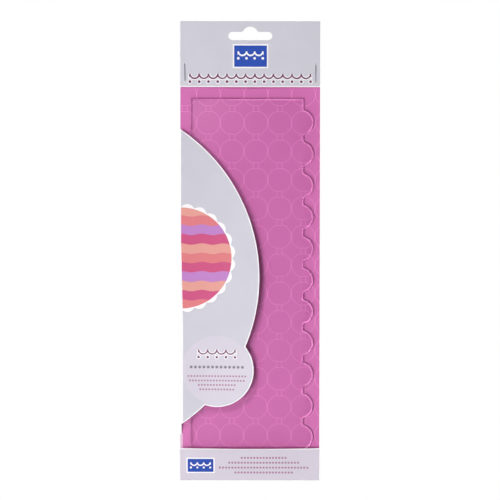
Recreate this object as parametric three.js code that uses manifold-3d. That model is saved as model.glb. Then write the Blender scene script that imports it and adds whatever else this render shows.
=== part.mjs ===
// A clear acrylic cake side scraper in its folded hang card, closed at the top with two wire staples.
// Millimetres, +Z up, the card's front faces -Y. The origin is where a shop peg carries the card:
// the top of the hang slot, on the card's rear face.
import * as THREE from "three";
import { mergeVertices } from "three/addons/utils/BufferGeometryUtils.js";
import Module from "manifold-3d";

// Card blank. Its height follows from the scraper that it carries.
const CARD_WIDTH = 98;
const CARD_THICKNESS = 0.45;
const HEADER_HEIGHT = 46;
const FOLD_GAP = 0.1; // air between two panels that are folded flat on each other
const CREASE_GAP = 0.05; // air between two panels that meet at a crease

// Hang slot: a wide slot with a round hump in the middle, where the peg bears
const SLOT_BELOW_TOP = 3.8;
const SLOT_WIDTH = 30.8;
const SLOT_HEIGHT = 5.8;
const HUMP_RISE = 3.6;
const HUMP_RADIUS = 5.5;
const HUMP_FILLET = 2.8;

// Scraper
const SCRAPER_LENGTH = 254;
const SCRAPER_WIDTH = 78.8; // from the straight edge to the lands between the scallops
const SCRAPER_THICKNESS = 3;
const SCRAPER_CHAMFER = 0.25;
const SCRAPER_FROM_LEFT = 7.4;
const SCRAPER_BELOW_HEADER = 8.4;
const SCRAPER_ABOVE_BOTTOM = 13.8; // its foot stands this far above the card's bottom crease
const SCRAPER_CLEARANCE = 0.3; // between the plate and the card in front of and behind it
const SCALLOP_PITCH = 22.1;
const SCALLOP_RADIUS = 8.7;
const SCALLOP_RISE = 7;
const SCALLOP_END_LAND = 4; // the least straight edge beyond the first and the last scallop

// Side wall and window flap. The flap's edge is one wide sweep with a round lobe standing out of it.
const WALL_INSET = 0.7; // the left crease lies inside the card's left edge by this much
const WALL_ABOVE_LIP = 9.4; // the wall ends this far above the bottom flap
const WALL_TAPER = 7; // length of the wall's slanted lower end
const WALL_END = 1; // depth that is left of the wall at its lower end
const FLAP_BELOW_HEADER = 30; // the flap's crease starts this far below the header flap
const FLAP_ABOVE_LIP = 16.4; // and ends this far above the bottom flap
const SWEEP_BULGE = 54.9; // the sweep stands out this far from the crease at its middle
const LOBE_RADIUS = 25.9;
const LOBE_OFFSET = 25.1; // the lobe's centre lies this far right of the crease
const LOBE_ABOVE_LIP = 54.7;

// Bottom flap
const BOTTOM_FLAP_HEIGHT = 23;
const FOOT_CLEARANCE = 0.2; // between the scraper's foot and the flap that leans against it

// Staples
const STAPLE_CROWN = 13.2;
const STAPLE_LEG = 4.6; // the clinched part of a leg, behind the card
const STAPLE_WIRE = 0.5;
const STAPLE_WIRE_WIDTH = 0.6;
const STAPLE_BEND = 0.2; // inner radius of its bends
const STAPLE_AIR = 0.1; // between the wire and the card's faces
const STAPLE_HOLE_RADIUS = 0.6;
const LEFT_STAPLE = { fromEdge: 3.2, aboveFoot: 10.4, tilt: -1.5 }; // above the header flap's foot
const RIGHT_STAPLE = { fromEdge: 3.1, aboveFoot: 9.5, tilt: 0 };

// Facets
const ARC_STEPS = 14;
const SWEEP_STEPS = 28;
const FOLD_STEPS = 8;
const HOLE_STEPS = 4;
const MERGE_DISTANCE = 1e-4; // corners closer than this are one corner

// Places worked out from the sizes above
const SCRAPER_BELOW_TOP = HEADER_HEIGHT + SCRAPER_BELOW_HEADER;
const CARD_HEIGHT = SCRAPER_BELOW_TOP + SCRAPER_LENGTH + SCRAPER_ABOVE_BOTTOM;
const TOP = SLOT_BELOW_TOP;
const BOTTOM = TOP - CARD_HEIGHT;
const LEFT = -CARD_WIDTH / 2;
const RIGHT = CARD_WIDTH / 2;
const BACK_FRONT = -CARD_THICKNESS; // front face of the back panel
const HEADER_REAR = BACK_FRONT - FOLD_GAP;
const HEADER_FRONT = HEADER_REAR - CARD_THICKNESS;
const HEADER_FOOT = TOP - HEADER_HEIGHT;
const FOLD_RADIUS = -HEADER_FRONT / 2; // outer radius of the fold over the top edge
const SCRAPER_REAR = BACK_FRONT - SCRAPER_CLEARANCE;
const SCRAPER_FRONT = SCRAPER_REAR - SCRAPER_THICKNESS;
const SCRAPER_LEFT = LEFT + SCRAPER_FROM_LEFT;
const SCRAPER_LAND = SCRAPER_LEFT + SCRAPER_WIDTH;
const SCRAPER_TOP = TOP - SCRAPER_BELOW_TOP;
const SCRAPER_FOOT = SCRAPER_TOP - SCRAPER_LENGTH;
const FLAP_REAR = SCRAPER_FRONT - SCRAPER_CLEARANCE;
const CREASE = LEFT + WALL_INSET; // outer face of the side wall
const LIP = BOTTOM + BOTTOM_FLAP_HEIGHT;
const WALL_FOOT = LIP + WALL_ABOVE_LIP;
const FLAP_TOP = HEADER_FOOT - FLAP_BELOW_HEADER;
const FLAP_FOOT = LIP + FLAP_ABOVE_LIP;
const SWEEP_HALF_CHORD = (FLAP_TOP - FLAP_FOOT) / 2;
const SWEEP_RADIUS = (SWEEP_HALF_CHORD ** 2 + SWEEP_BULGE ** 2) / (2 * SWEEP_BULGE);
const SWEEP_HALF_ANGLE = Math.asin(SWEEP_HALF_CHORD / SWEEP_RADIUS);
const SWEEP = { x: CREASE + SWEEP_BULGE - SWEEP_RADIUS, z: (FLAP_TOP + FLAP_FOOT) / 2 };
const LOBE = { x: CREASE + LOBE_OFFSET, z: LIP + LOBE_ABOVE_LIP };

// Finishes
const printedCard = new THREE.MeshStandardMaterial({ color: 0xd2d0db, roughness: 0.55 });
const pinkCard = new THREE.MeshStandardMaterial({ color: 0xd37ab8, roughness: 0.5 });
const acrylic = new THREE.MeshStandardMaterial({
  color: 0xf4eef4,
  roughness: 0.06,
  transparent: true,
  opacity: 0.3,
});
const wire = new THREE.MeshStandardMaterial({ color: 0x9c9ca4, roughness: 0.35, metalness: 1 });

const wasm = await Module();
wasm.setup();

// A mesh's geometry, in the part's frame, as a solid for cutting.
function solidOf(mesh) {
  mesh.updateMatrixWorld(true);
  const bare = mesh.geometry.clone().applyMatrix4(mesh.matrixWorld);
  bare.deleteAttribute("normal");
  bare.deleteAttribute("uv");
  const merged = mergeVertices(bare, MERGE_DISTANCE);
  return new wasm.Manifold(
    new wasm.Mesh({
      numProp: 3,
      vertProperties: new Float32Array(merged.attributes.position.array),
      triVerts: new Uint32Array(merged.index.array),
    }),
  );
}

// The mesh with the cutters' solids taken out of it.
function cutBy(mesh, cutters) {
  const left = cutters.reduce((solid, cutter) => solid.subtract(solidOf(cutter)), solidOf(mesh));
  const { vertProperties, triVerts } = left.getMesh();
  const geometry = new THREE.BufferGeometry();
  geometry.setAttribute("position", new THREE.BufferAttribute(vertProperties, 3));
  geometry.setIndex(new THREE.BufferAttribute(triVerts, 1));
  geometry.computeVertexNormals();
  const cut = new THREE.Mesh(geometry, mesh.material);
  cut.name = mesh.name;
  return cut;
}

// A plate whose outline is drawn in X and Z, from its rear face towards the front.
function plate(name, outline, rear, thickness, material, steps = ARC_STEPS, chamfer = 0) {
  const geometry = new THREE.ExtrudeGeometry(outline, {
    depth: thickness - 2 * chamfer,
    curveSegments: steps,
    bevelEnabled: chamfer > 0,
    bevelThickness: chamfer,
    bevelSize: chamfer,
    bevelOffset: -chamfer,
    bevelSegments: 1,
  });
  const mesh = new THREE.Mesh(geometry, material);
  mesh.name = name;
  mesh.rotation.x = Math.PI / 2;
  mesh.position.y = rear - chamfer;
  return mesh;
}

// A strip whose section is drawn in Y and Z, running along X from its left end.
function strip(name, section, left, length, material, steps = FOLD_STEPS) {
  const geometry = new THREE.ExtrudeGeometry(section, {
    depth: length,
    curveSegments: steps,
    bevelEnabled: false,
  });
  const mesh = new THREE.Mesh(geometry, material);
  mesh.name = name;
  mesh.rotation.set(Math.PI / 2, Math.PI / 2, 0);
  mesh.position.x = left;
  return mesh;
}

// Hang slot

// Draws the slot's outline on a shape or a hole, counter-clockwise from the hump's top.
function drawSlot(path) {
  const humpCentre = -HUMP_RADIUS;
  const ceiling = -HUMP_RISE;
  const endRadius = SLOT_HEIGHT / 2;
  const endCentre = SLOT_WIDTH / 2 - endRadius;
  const filletZ = ceiling + HUMP_FILLET;
  const reach = HUMP_RADIUS + HUMP_FILLET;
  const turn = Math.asin((filletZ - humpCentre) / reach);
  const filletX = reach * Math.cos(turn);
  path.absarc(0, humpCentre, HUMP_RADIUS, Math.PI / 2, Math.PI - turn, false);
  path.absarc(-filletX, filletZ, HUMP_FILLET, -turn, -Math.PI / 2, true);
  path.absarc(-endCentre, ceiling - endRadius, endRadius, Math.PI / 2, 1.5 * Math.PI, false);
  path.absarc(endCentre, ceiling - endRadius, endRadius, -Math.PI / 2, Math.PI / 2, false);
  path.absarc(filletX, filletZ, HUMP_FILLET, -Math.PI / 2, turn - Math.PI, true);
  path.absarc(0, humpCentre, HUMP_RADIUS, turn, Math.PI / 2, false);
  return path;
}

// Staples

const staples = [
  { name: "staple_left", x: LEFT + LEFT_STAPLE.fromEdge, ...LEFT_STAPLE },
  { name: "staple_right", x: RIGHT - RIGHT_STAPLE.fromEdge, ...RIGHT_STAPLE },
].map((staple) => ({
  ...staple,
  z: HEADER_FOOT + staple.aboveFoot,
  turn: THREE.MathUtils.degToRad(staple.tilt),
}));

// The two points where a staple's legs go through the card.
function legPoints(staple) {
  const arm = (STAPLE_CROWN - STAPLE_WIRE) / 2;
  return [-arm, arm].map((reach) => ({
    x: staple.x + reach * Math.sin(staple.turn),
    z: staple.z + reach * Math.cos(staple.turn),
  }));
}

const legs = staples.flatMap(legPoints);

// The bent wire seen from the side: crown in front, legs through the card, ends clinched behind it.
function stapleSection() {
  const half = STAPLE_CROWN / 2;
  const inside = half - STAPLE_WIRE;
  const tip = half - STAPLE_LEG;
  const round = STAPLE_BEND + STAPLE_WIRE;
  const crownRear = HEADER_FRONT - STAPLE_AIR;
  const crownFront = crownRear - STAPLE_WIRE;
  const clinchFront = STAPLE_AIR;
  const clinchRear = clinchFront + STAPLE_WIRE;
  const quarter = Math.PI / 2;
  const section = new THREE.Shape();
  section.moveTo(clinchRear, tip);
  section.absarc(clinchRear - round, half - round, round, 0, quarter, false);
  section.absarc(crownFront + round, half - round, round, quarter, 2 * quarter, false);
  section.absarc(crownFront + round, round - half, round, 2 * quarter, 3 * quarter, false);
  section.absarc(clinchRear - round, round - half, round, 3 * quarter, 4 * quarter, false);
  section.lineTo(clinchRear, -tip);
  section.lineTo(clinchFront, -tip);
  section.absarc(clinchFront - STAPLE_BEND, STAPLE_BEND - inside, STAPLE_BEND, 0, -quarter, true);
  section.absarc(crownRear + STAPLE_BEND, STAPLE_BEND - inside, STAPLE_BEND, -quarter, -2 * quarter, true);
  section.absarc(crownRear + STAPLE_BEND, inside - STAPLE_BEND, STAPLE_BEND, 2 * quarter, quarter, true);
  section.absarc(clinchFront - STAPLE_BEND, inside - STAPLE_BEND, STAPLE_BEND, quarter, 0, true);
  section.lineTo(clinchFront, tip);
  section.closePath();
  return section;
}

function makeStaple(staple) {
  const bent = strip(
    staple.name,
    stapleSection(),
    -STAPLE_WIRE_WIDTH / 2,
    STAPLE_WIRE_WIDTH,
    wire,
    HOLE_STEPS,
  );
  const seat = new THREE.Group();
  seat.position.set(staple.x, 0, staple.z);
  seat.rotation.y = staple.turn;
  seat.add(bent);
  return seat;
}

// Card

function makeBackPanel() {
  const outline = new THREE.Shape();
  outline.moveTo(LEFT, BOTTOM);
  outline.lineTo(RIGHT, BOTTOM);
  outline.lineTo(RIGHT, TOP - FOLD_RADIUS - CREASE_GAP);
  outline.lineTo(LEFT, TOP - FOLD_RADIUS - CREASE_GAP);
  outline.lineTo(LEFT, FLAP_TOP + WALL_INSET);
  outline.lineTo(CREASE, FLAP_TOP);
  outline.lineTo(CREASE, WALL_FOOT);
  outline.lineTo(LEFT, WALL_FOOT - WALL_INSET);
  outline.closePath();
  outline.holes.push(drawSlot(new THREE.Path()));
  for (const leg of legs) {
    outline.holes.push(new THREE.Path().absarc(leg.x, leg.z, STAPLE_HOLE_RADIUS, 0, 2 * Math.PI, true));
  }
  return plate("back_panel", outline, 0, CARD_THICKNESS, pinkCard, HOLE_STEPS * 2);
}

// The header flap hangs in front of the back panel from a half-round fold over the top edge.
function makeHeaderFlap() {
  const foldZ = TOP - FOLD_RADIUS;
  const inner = FOLD_GAP / 2;
  const section = new THREE.Shape();
  section.moveTo(HEADER_FRONT, HEADER_FOOT);
  section.lineTo(HEADER_REAR, HEADER_FOOT);
  section.absarc(-FOLD_RADIUS, foldZ, inner, Math.PI, 0, true);
  section.absarc(-FOLD_RADIUS, foldZ, FOLD_RADIUS, 0, Math.PI, false);
  section.closePath();
  const flap = strip("header_flap", section, LEFT, CARD_WIDTH, printedCard);
  const rear = 0; // the cutters reach from the card's rear face to in front of the flap
  const reach = -2 * HEADER_FRONT;
  const slot = plate("slot", drawSlot(new THREE.Shape()), rear, reach, printedCard, HOLE_STEPS * 2);
  const holes = legs.map((leg) => {
    const round = new THREE.Shape().absarc(leg.x, leg.z, STAPLE_HOLE_RADIUS, 0, 2 * Math.PI, false);
    return plate("hole", round, rear, reach, printedCard, HOLE_STEPS * 2);
  });
  return cutBy(flap, [slot, ...holes]);
}

// The wall's lower end slants back to the rear crease below the flap.
function makeSideWall() {
  const rear = BACK_FRONT - CREASE_GAP;
  const front = FLAP_REAR + CREASE_GAP;
  const section = new THREE.Shape();
  section.moveTo(rear, WALL_FOOT);
  section.lineTo(rear, FLAP_TOP);
  section.lineTo(front, FLAP_TOP);
  section.lineTo(front, WALL_FOOT + WALL_TAPER);
  section.quadraticCurveTo(rear - WALL_END, WALL_FOOT + WALL_TAPER / 2, rear - WALL_END, WALL_FOOT);
  section.closePath();
  return strip("side_wall", section, CREASE, CARD_THICKNESS, pinkCard);
}

// The window flap's free edge: the sweep up to the lobe, round the lobe, and the rest of the sweep.
function makeWindowFlap() {
  const across = Math.hypot(LOBE.x - SWEEP.x, LOBE.z - SWEEP.z);
  const towards = Math.atan2(LOBE.z - SWEEP.z, LOBE.x - SWEEP.x);
  const chord = (SWEEP_RADIUS ** 2 - LOBE_RADIUS ** 2 + across ** 2) / (2 * across);
  const sweepTurn = Math.acos(chord / SWEEP_RADIUS);
  const lobeTurn = Math.acos((chord - across) / LOBE_RADIUS);
  const outline = new THREE.Shape();
  outline.absarc(SWEEP.x, SWEEP.z, SWEEP_RADIUS, -SWEEP_HALF_ANGLE, towards - sweepTurn, false);
  outline.absarc(LOBE.x, LOBE.z, LOBE_RADIUS, towards - lobeTurn, towards + lobeTurn, false);
  outline.absarc(SWEEP.x, SWEEP.z, SWEEP_RADIUS, towards + sweepTurn, SWEEP_HALF_ANGLE, false);
  outline.closePath();
  return plate("window_flap", outline, FLAP_REAR, CARD_THICKNESS, printedCard, SWEEP_STEPS);
}

// The bottom flap leans outwards from the bottom crease just far enough to clear the scraper's foot.
function makeBottomFlap() {
  const out = HEADER_REAR - SCRAPER_FRONT;
  const up = SCRAPER_FOOT - BOTTOM;
  const lean = Math.atan2(out, up) + Math.asin(FOOT_CLEARANCE / Math.hypot(out, up));
  const lipRear = HEADER_REAR - BOTTOM_FLAP_HEIGHT * Math.tan(lean);
  const depth = CARD_THICKNESS / Math.cos(lean);
  const section = new THREE.Shape();
  section.moveTo(HEADER_REAR, BOTTOM);
  section.lineTo(lipRear, LIP);
  section.lineTo(lipRear - depth, LIP);
  section.lineTo(HEADER_REAR - depth, BOTTOM);
  section.closePath();
  return strip("bottom_flap", section, LEFT, CARD_WIDTH, printedCard);
}

// Scraper

function makeScraper() {
  const arcX = SCRAPER_LAND + SCALLOP_RISE - SCALLOP_RADIUS;
  const halfTurn = Math.acos((SCALLOP_RADIUS - SCALLOP_RISE) / SCALLOP_RADIUS);
  const chord = 2 * SCALLOP_RADIUS * Math.sin(halfTurn);
  const steps = Math.floor((SCRAPER_LENGTH - chord - 2 * SCALLOP_END_LAND) / SCALLOP_PITCH);
  const lowest = (SCRAPER_TOP + SCRAPER_FOOT - steps * SCALLOP_PITCH) / 2;
  const outline = new THREE.Shape();
  outline.moveTo(SCRAPER_LEFT, SCRAPER_FOOT);
  outline.lineTo(SCRAPER_LAND, SCRAPER_FOOT);
  for (let i = 0; i <= steps; i += 1) {
    outline.absarc(arcX, lowest + i * SCALLOP_PITCH, SCALLOP_RADIUS, -halfTurn, halfTurn, false);
  }
  outline.lineTo(SCRAPER_LAND, SCRAPER_TOP);
  outline.lineTo(SCRAPER_LEFT, SCRAPER_TOP);
  outline.closePath();
  return plate(
    "scraper",
    outline,
    SCRAPER_REAR,
    SCRAPER_THICKNESS,
    acrylic,
    ARC_STEPS,
    SCRAPER_CHAMFER,
  );
}

const card = new THREE.Group();
card.add(makeBackPanel(), makeHeaderFlap(), makeSideWall(), makeWindowFlap(), makeBottomFlap());

const carded = new THREE.Group();
carded.add(card, makeScraper(), ...staples.map(makeStaple));

export default carded;
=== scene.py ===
"""Looks of a clear acrylic cake side scraper in its folded hang card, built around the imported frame."""

import math

import bmesh
import bpy
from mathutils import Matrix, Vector
from mathutils.geometry import delaunay_2d_cdt


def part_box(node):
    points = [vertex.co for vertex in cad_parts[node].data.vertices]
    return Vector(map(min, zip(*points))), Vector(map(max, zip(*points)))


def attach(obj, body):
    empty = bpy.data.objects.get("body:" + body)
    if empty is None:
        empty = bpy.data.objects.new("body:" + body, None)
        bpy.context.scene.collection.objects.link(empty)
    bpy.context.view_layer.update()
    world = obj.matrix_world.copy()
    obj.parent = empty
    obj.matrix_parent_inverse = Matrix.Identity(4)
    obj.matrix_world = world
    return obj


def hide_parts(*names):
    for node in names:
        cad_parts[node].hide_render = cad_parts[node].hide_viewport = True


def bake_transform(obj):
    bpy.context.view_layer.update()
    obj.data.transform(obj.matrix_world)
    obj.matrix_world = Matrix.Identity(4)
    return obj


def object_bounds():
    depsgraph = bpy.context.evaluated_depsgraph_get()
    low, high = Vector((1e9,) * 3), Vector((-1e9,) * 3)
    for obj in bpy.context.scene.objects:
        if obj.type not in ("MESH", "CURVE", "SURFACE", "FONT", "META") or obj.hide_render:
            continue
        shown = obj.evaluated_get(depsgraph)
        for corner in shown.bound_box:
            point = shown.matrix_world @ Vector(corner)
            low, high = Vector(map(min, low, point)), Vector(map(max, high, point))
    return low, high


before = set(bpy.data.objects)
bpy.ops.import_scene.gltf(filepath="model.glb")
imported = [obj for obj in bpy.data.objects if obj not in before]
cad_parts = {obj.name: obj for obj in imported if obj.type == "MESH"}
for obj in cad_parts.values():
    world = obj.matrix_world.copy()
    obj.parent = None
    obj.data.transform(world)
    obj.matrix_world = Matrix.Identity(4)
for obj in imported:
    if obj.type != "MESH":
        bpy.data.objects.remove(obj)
cad_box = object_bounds()
MM = 0.001

# Places and sizes read from the frame
back_low, back_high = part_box("back_panel")
header_low, header_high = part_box("header_flap")
wall_low, wall_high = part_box("side_wall")
flap_low, flap_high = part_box("window_flap")
bottom_low, bottom_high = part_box("bottom_flap")
plate_low, plate_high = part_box("scraper")
BOARD = back_high.y - back_low.y
CREASE = flap_low.x
LIP = bottom_high.z

# Meshes
GRID = 4 * MM  # spacing of the points inside a bowed panel
FILL_TOLERANCE = 1e-7
LOOP_TOLERANCE = 1e-6
WELD = 1e-8

# Hang slot
SLOT_WIDTH = 30.8 * MM
SLOT_HEIGHT = 5.8 * MM
HUMP_RISE = 3.6 * MM
HUMP_RADIUS = 5.5 * MM
HUMP_FILLET = 2.8 * MM

# Header
HEADER_LIFT = 1.2 * MM  # the middle of the header's foot stands this much off the back
HEADER_SIDE = 0.1  # share of the lift that is left at the foot's ends
HEADER_BENDS = 10
HEADER_STEPS = 24

# Window flap
SWEEP_BULGE = flap_high.x - flap_low.x
SWEEP_HALF = (flap_high.z - flap_low.z) / 2
SWEEP_RADIUS = (SWEEP_HALF**2 + SWEEP_BULGE**2) / (2 * SWEEP_BULGE)
SWEEP = (flap_high.x - SWEEP_RADIUS, (flap_low.z + flap_high.z) / 2)
LOBE_RADIUS = 25.9 * MM
LOBE = (CREASE + 25.1 * MM, LIP + 54.7 * MM)
FLAP_LIFT = 4.5 * MM  # the free edge stands this much further forward than the crease

# Side wall
WALL_TAPER = 7 * MM
WALL_END = 1 * MM
WALL_ROWS = 60
SKIN = 0.03 * MM  # the wall's outer skin, which wraps the edges of the panels next to it
SKIN_CORE = SKIN / 6

# Bottom flap
BOTTOM_HEIGHT = bottom_high.z - bottom_low.z
BOTTOM_LEAN = math.atan((bottom_high.y - bottom_low.y - BOARD) / BOTTOM_HEIGHT)
LIP_BOW = math.radians(3.5)  # the lip's middle leans this much further out
LIP_STEPS = 40
FOLD_STEPS = 10

# Scraper
SCALLOP_PITCH = 22.1 * MM
SCALLOP_RADIUS = 8.7 * MM
SCALLOP_RISE = 7 * MM
SCALLOP_STEPS = 10  # pitches between the first and the last scallop
PLATE_ROUND = 0.25 * MM
ROUND_STEPS = 4
EDGE_BAND = 1.2 * MM  # width of the brighter band inside the edges that face away from the key lamp
KEY_TRAVEL = (0.9, 0.43)  # the way the key lamp's light goes across the card

# Staples
STAPLE_CROWN = 13.2 * MM
STAPLE_LEG = 4.6 * MM
STAPLE_WIRE = 0.5 * MM
STAPLE_WIDTH = 0.6 * MM
STAPLE_BEND = 0.45 * MM
STAPLE_HOLE = 0.6 * MM
STAPLE_SIDES = 12
STAPLE_POINT = 0.7  # the wire's size at its ends
STAPLE_FLATNESS = 0.6  # below 1 the wire's section is flatter than an oval
STAPLE_TILT = {"staple_left": math.radians(-1.5), "staple_right": 0.0}

# Ring print on the card's inside
RING_PITCH_X = 16.66 * MM
RING_PITCH_Z = 19.97 * MM
RING_RADIUS = 8.5 * MM
RING_HALF_HEIGHT = 8.1 * MM
RING_LINE = 0.42 * MM
RING_CENTRE = (-12.6 * MM, -67.25 * MM)
NECK_HALF = 1.75 * MM
PAINTED_HIGHLIGHT_STRIP = 1.75 * MM  # width of a pale pink strip painted as a highlight at the back's left edge, below the side wall

# Prints on the card's outside
WHITE_EDGE = 0.8 * MM
FOLD_HIGHLIGHT_WIDTH = 1.4 * MM  # painted highlight: the print is painted white along the lower half of the window flap's crease
FOLD_TOP = -150 * MM
FOLD_FADE = 60 * MM
LABEL_MARGIN = 1.6 * MM
MEDALLION = (CREASE, SWEEP[1] + 13.6 * MM)
MEDALLION_RADIUS = 36 * MM
MEDALLION_BORDER = 0.6 * MM
MEDALLION_SCALLOPS = 24
MEDALLION_RISE = 2.2 * MM
RIPPLE_RATE = 420.0  # radians per metre
RIPPLE_HEIGHT = 0.5 * MM

# Badges
HEADER_BADGE = {
    "middle": (0.2 * MM, header_high.z - 24.4 * MM),
    "size": (24.9 * MM, 16.9 * MM),
    "border": 1.0 * MM,
}
BOTTOM_BADGE = {
    "middle": (-34.6 * MM, bottom_low.z + 10.4 * MM),
    "size": (19.9 * MM, 11.3 * MM),
    "border": 0.9 * MM,
}

# Garlands: the row, the plum line and the white halo around it
HEADER_GARLAND = {"middle": (0.0, header_high.z - 36.7 * MM), "count": 13, "pitch": 6.5 * MM}
HEADER_LINE = {"stroke": 1.1 * MM, "bead": 1.0 * MM}
HEADER_HALO = {"stroke": 2.4 * MM, "bead": 1.6 * MM}
LOBE_GARLAND = {"middle": (LOBE[0], LOBE[1] + 14.6 * MM), "count": 4, "pitch": 6.4 * MM}
LOBE_LINE = {"stroke": 0.95 * MM, "bead": 0.9 * MM}
LOBE_HALO = {"stroke": 2.2 * MM, "bead": 1.5 * MM}
BEAD_DROP = 0.85  # how far the beads hang below the row, in pitches

# Rows of dots
LOBE_RULE = {"middle": (LOBE[0], LOBE[1] + 2.2 * MM), "count": 13, "pitch": 3.0 * MM, "radius": 1.0 * MM}
LOBE_DOTS = {
    "first": (LOBE[0], LOBE[1] - 4.2 * MM),
    "counts": (20, 19, 13, 12),
    "drop": 3.1 * MM,
    "pitch": 2.1 * MM,
    "radius": 0.7 * MM,
}
BOTTOM_DOTS = {
    "first": (9.8 * MM, bottom_low.z + 16.0 * MM),
    "counts": (15, 23, 29, 19),
    "drop": 3.6 * MM,
    "pitch": 2.2 * MM,
    "radius": 0.78 * MM,
}

# Finishes: noise scales, per metre, and what the noise does
NOISE_LOW = 0.3
NOISE_HIGH = 0.7
CLOUD_SCALE = 60
CLOUD_RANGE = (0.985, 1.015)
TOOTH_SCALE = 2600
TOOTH_DEPTH = 0.02 * MM
COAT_SCALE = 240
COAT_RANGE = (-0.05, 0.06)
CARD_GLOSS = 0.35
INSIDE_ROUGHNESS = 0.42
OUTSIDE_ROUGHNESS = 0.46
FIBRE_SCALE = 900
FIBRE_STRETCH = (1, 6, 1)
FIBRE_RANGE = (0.94, 1.03)
FIBRE_DEPTH = 0.03 * MM
CORE_ROUGHNESS = 0.85
ACRYLIC_IOR = 1.49
FROST = 0.5  # share of the light that passes through the frosted walls
EDGE_SCALE = 60
EDGE_ROUGHNESS = (0.22, 0.28)
SHEET_SCALE = 70
SHEET_DEPTH = 0.02 * MM
SHEET_BUMP = 0.15
MARK_SCALE = 700
MARK_STRETCH = (4, 4, 0.3)
MARK_RANGE = (0.85, 1.08)
MARK_DEPTH = 0.02 * MM
MARK_BUMP = 0.4
WIRE_ROUGHNESS = (0.26, 0.42)

# Camera
PHOTO_PIXELS = 500
MM_PER_PIXEL = 0.703
ORIGIN_PIXEL = (250.1, 27.45)
CAMERA_DISTANCE = 1.5
CAMERA_RISE = math.radians(2.0)  # it looks slightly down, so the card's lower end is a little narrower
CAMERA_ROLL = math.radians(-0.08)
SENSOR = 36.0

# Lamps
LAMPS = {
    "key": {"place": (-0.43, -1.1, -0.4), "size": (0.46, 0.22), "power": 7.2},
    "top": {"place": (-0.8, -1.8, 1.3), "size": (0.5, 0.25), "power": 21.0},
    "fill": {"place": (0.9, -1.2, 0.1), "size": (0.9, 0.9), "power": 0.3},
    "back": {"place": (0.5, 1.2, 0.35), "size": (0.8, 0.8), "power": 12.0},
}

# Room: its soft light, and the white that shiny things mirror around a dim patch in front of them
AMBIENT = 0.17
PATCH_STRENGTH = 0.06
PATCH_REACH = (-0.985, -0.94)  # a direction's y where the patch starts to fade, and where it ends

# Soft light that the acrylic mirrors at its upper left, as a direction and how far it spreads
GLOW_PLACE = (-0.04, -0.998, 0.05)
GLOW_REACH = 0.06
GLOW_STRENGTH = 0.9

# Floor
FLOOR_HALF = 0.6
FLOOR_DROP = 0.13
FLOOR_FADE = (0.05, 0.11)
FLOOR_GREY = (0.9, 0.9, 0.9, 1)
FLOOR_ROUGHNESS = 0.9
FLOOR_GLOSS = 0.1


def srgb(red, green, blue):
    """A display colour, 0 to 255, as the shader's linear colour."""
    return tuple(
        c / 12.92 if c <= 0.04045 else ((c + 0.055) / 1.055) ** 2.4
        for c in (red / 255, green / 255, blue / 255)
    ) + (1.0,)


# Colours of the card and its prints
LILAC = srgb(209, 207, 217)
ROSE_GREY = srgb(215, 207, 220)
WINDOW_LILAC = srgb(204, 202, 213)
LABEL = srgb(212, 205, 219)
PAPER_WHITE = srgb(250, 247, 251)
CORE_WHITE = srgb(244, 240, 244)
PINK = srgb(213, 112, 179)
RING = srgb(232, 134, 200)
PALE_PINK = srgb(231, 190, 217)
PLUM = srgb(116, 62, 98)
MAUVE = srgb(176, 128, 160)
BLUE = srgb(36, 76, 176)
GREY = srgb(128, 122, 134)
PEACH = srgb(228, 156, 146)
CORAL = srgb(222, 120, 126)
HOT_PINK = srgb(204, 74, 126)
ORCHID = srgb(190, 126, 198)
MEDALLION_STRIPES = [
    CORAL,
    HOT_PINK,
    PEACH,
    ORCHID,
    HOT_PINK,
    CORAL,
    PEACH,
    HOT_PINK,
    ORCHID,
    CORAL,
    PEACH,
]
ZINC = srgb(132, 132, 140)
WHITE = (1, 1, 1, 1)

# Acrylic: its faces, its frosted walls, and the light that reaches the card through faces and edges
CLEAR = (0.977, 0.951, 0.977, 1)
CUT = (0.96, 0.84, 0.92, 1)
EDGE_LIGHT = (2.6, 2.6, 2.6, 1)
EDGE_SHADE = (0.05, 0.0, 0.03, 1)
EDGE_DIM = (0.2, 0.03, 0.12, 1)
SIDE_SHADE = (0.4, 0.25, 0.35, 1)


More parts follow.
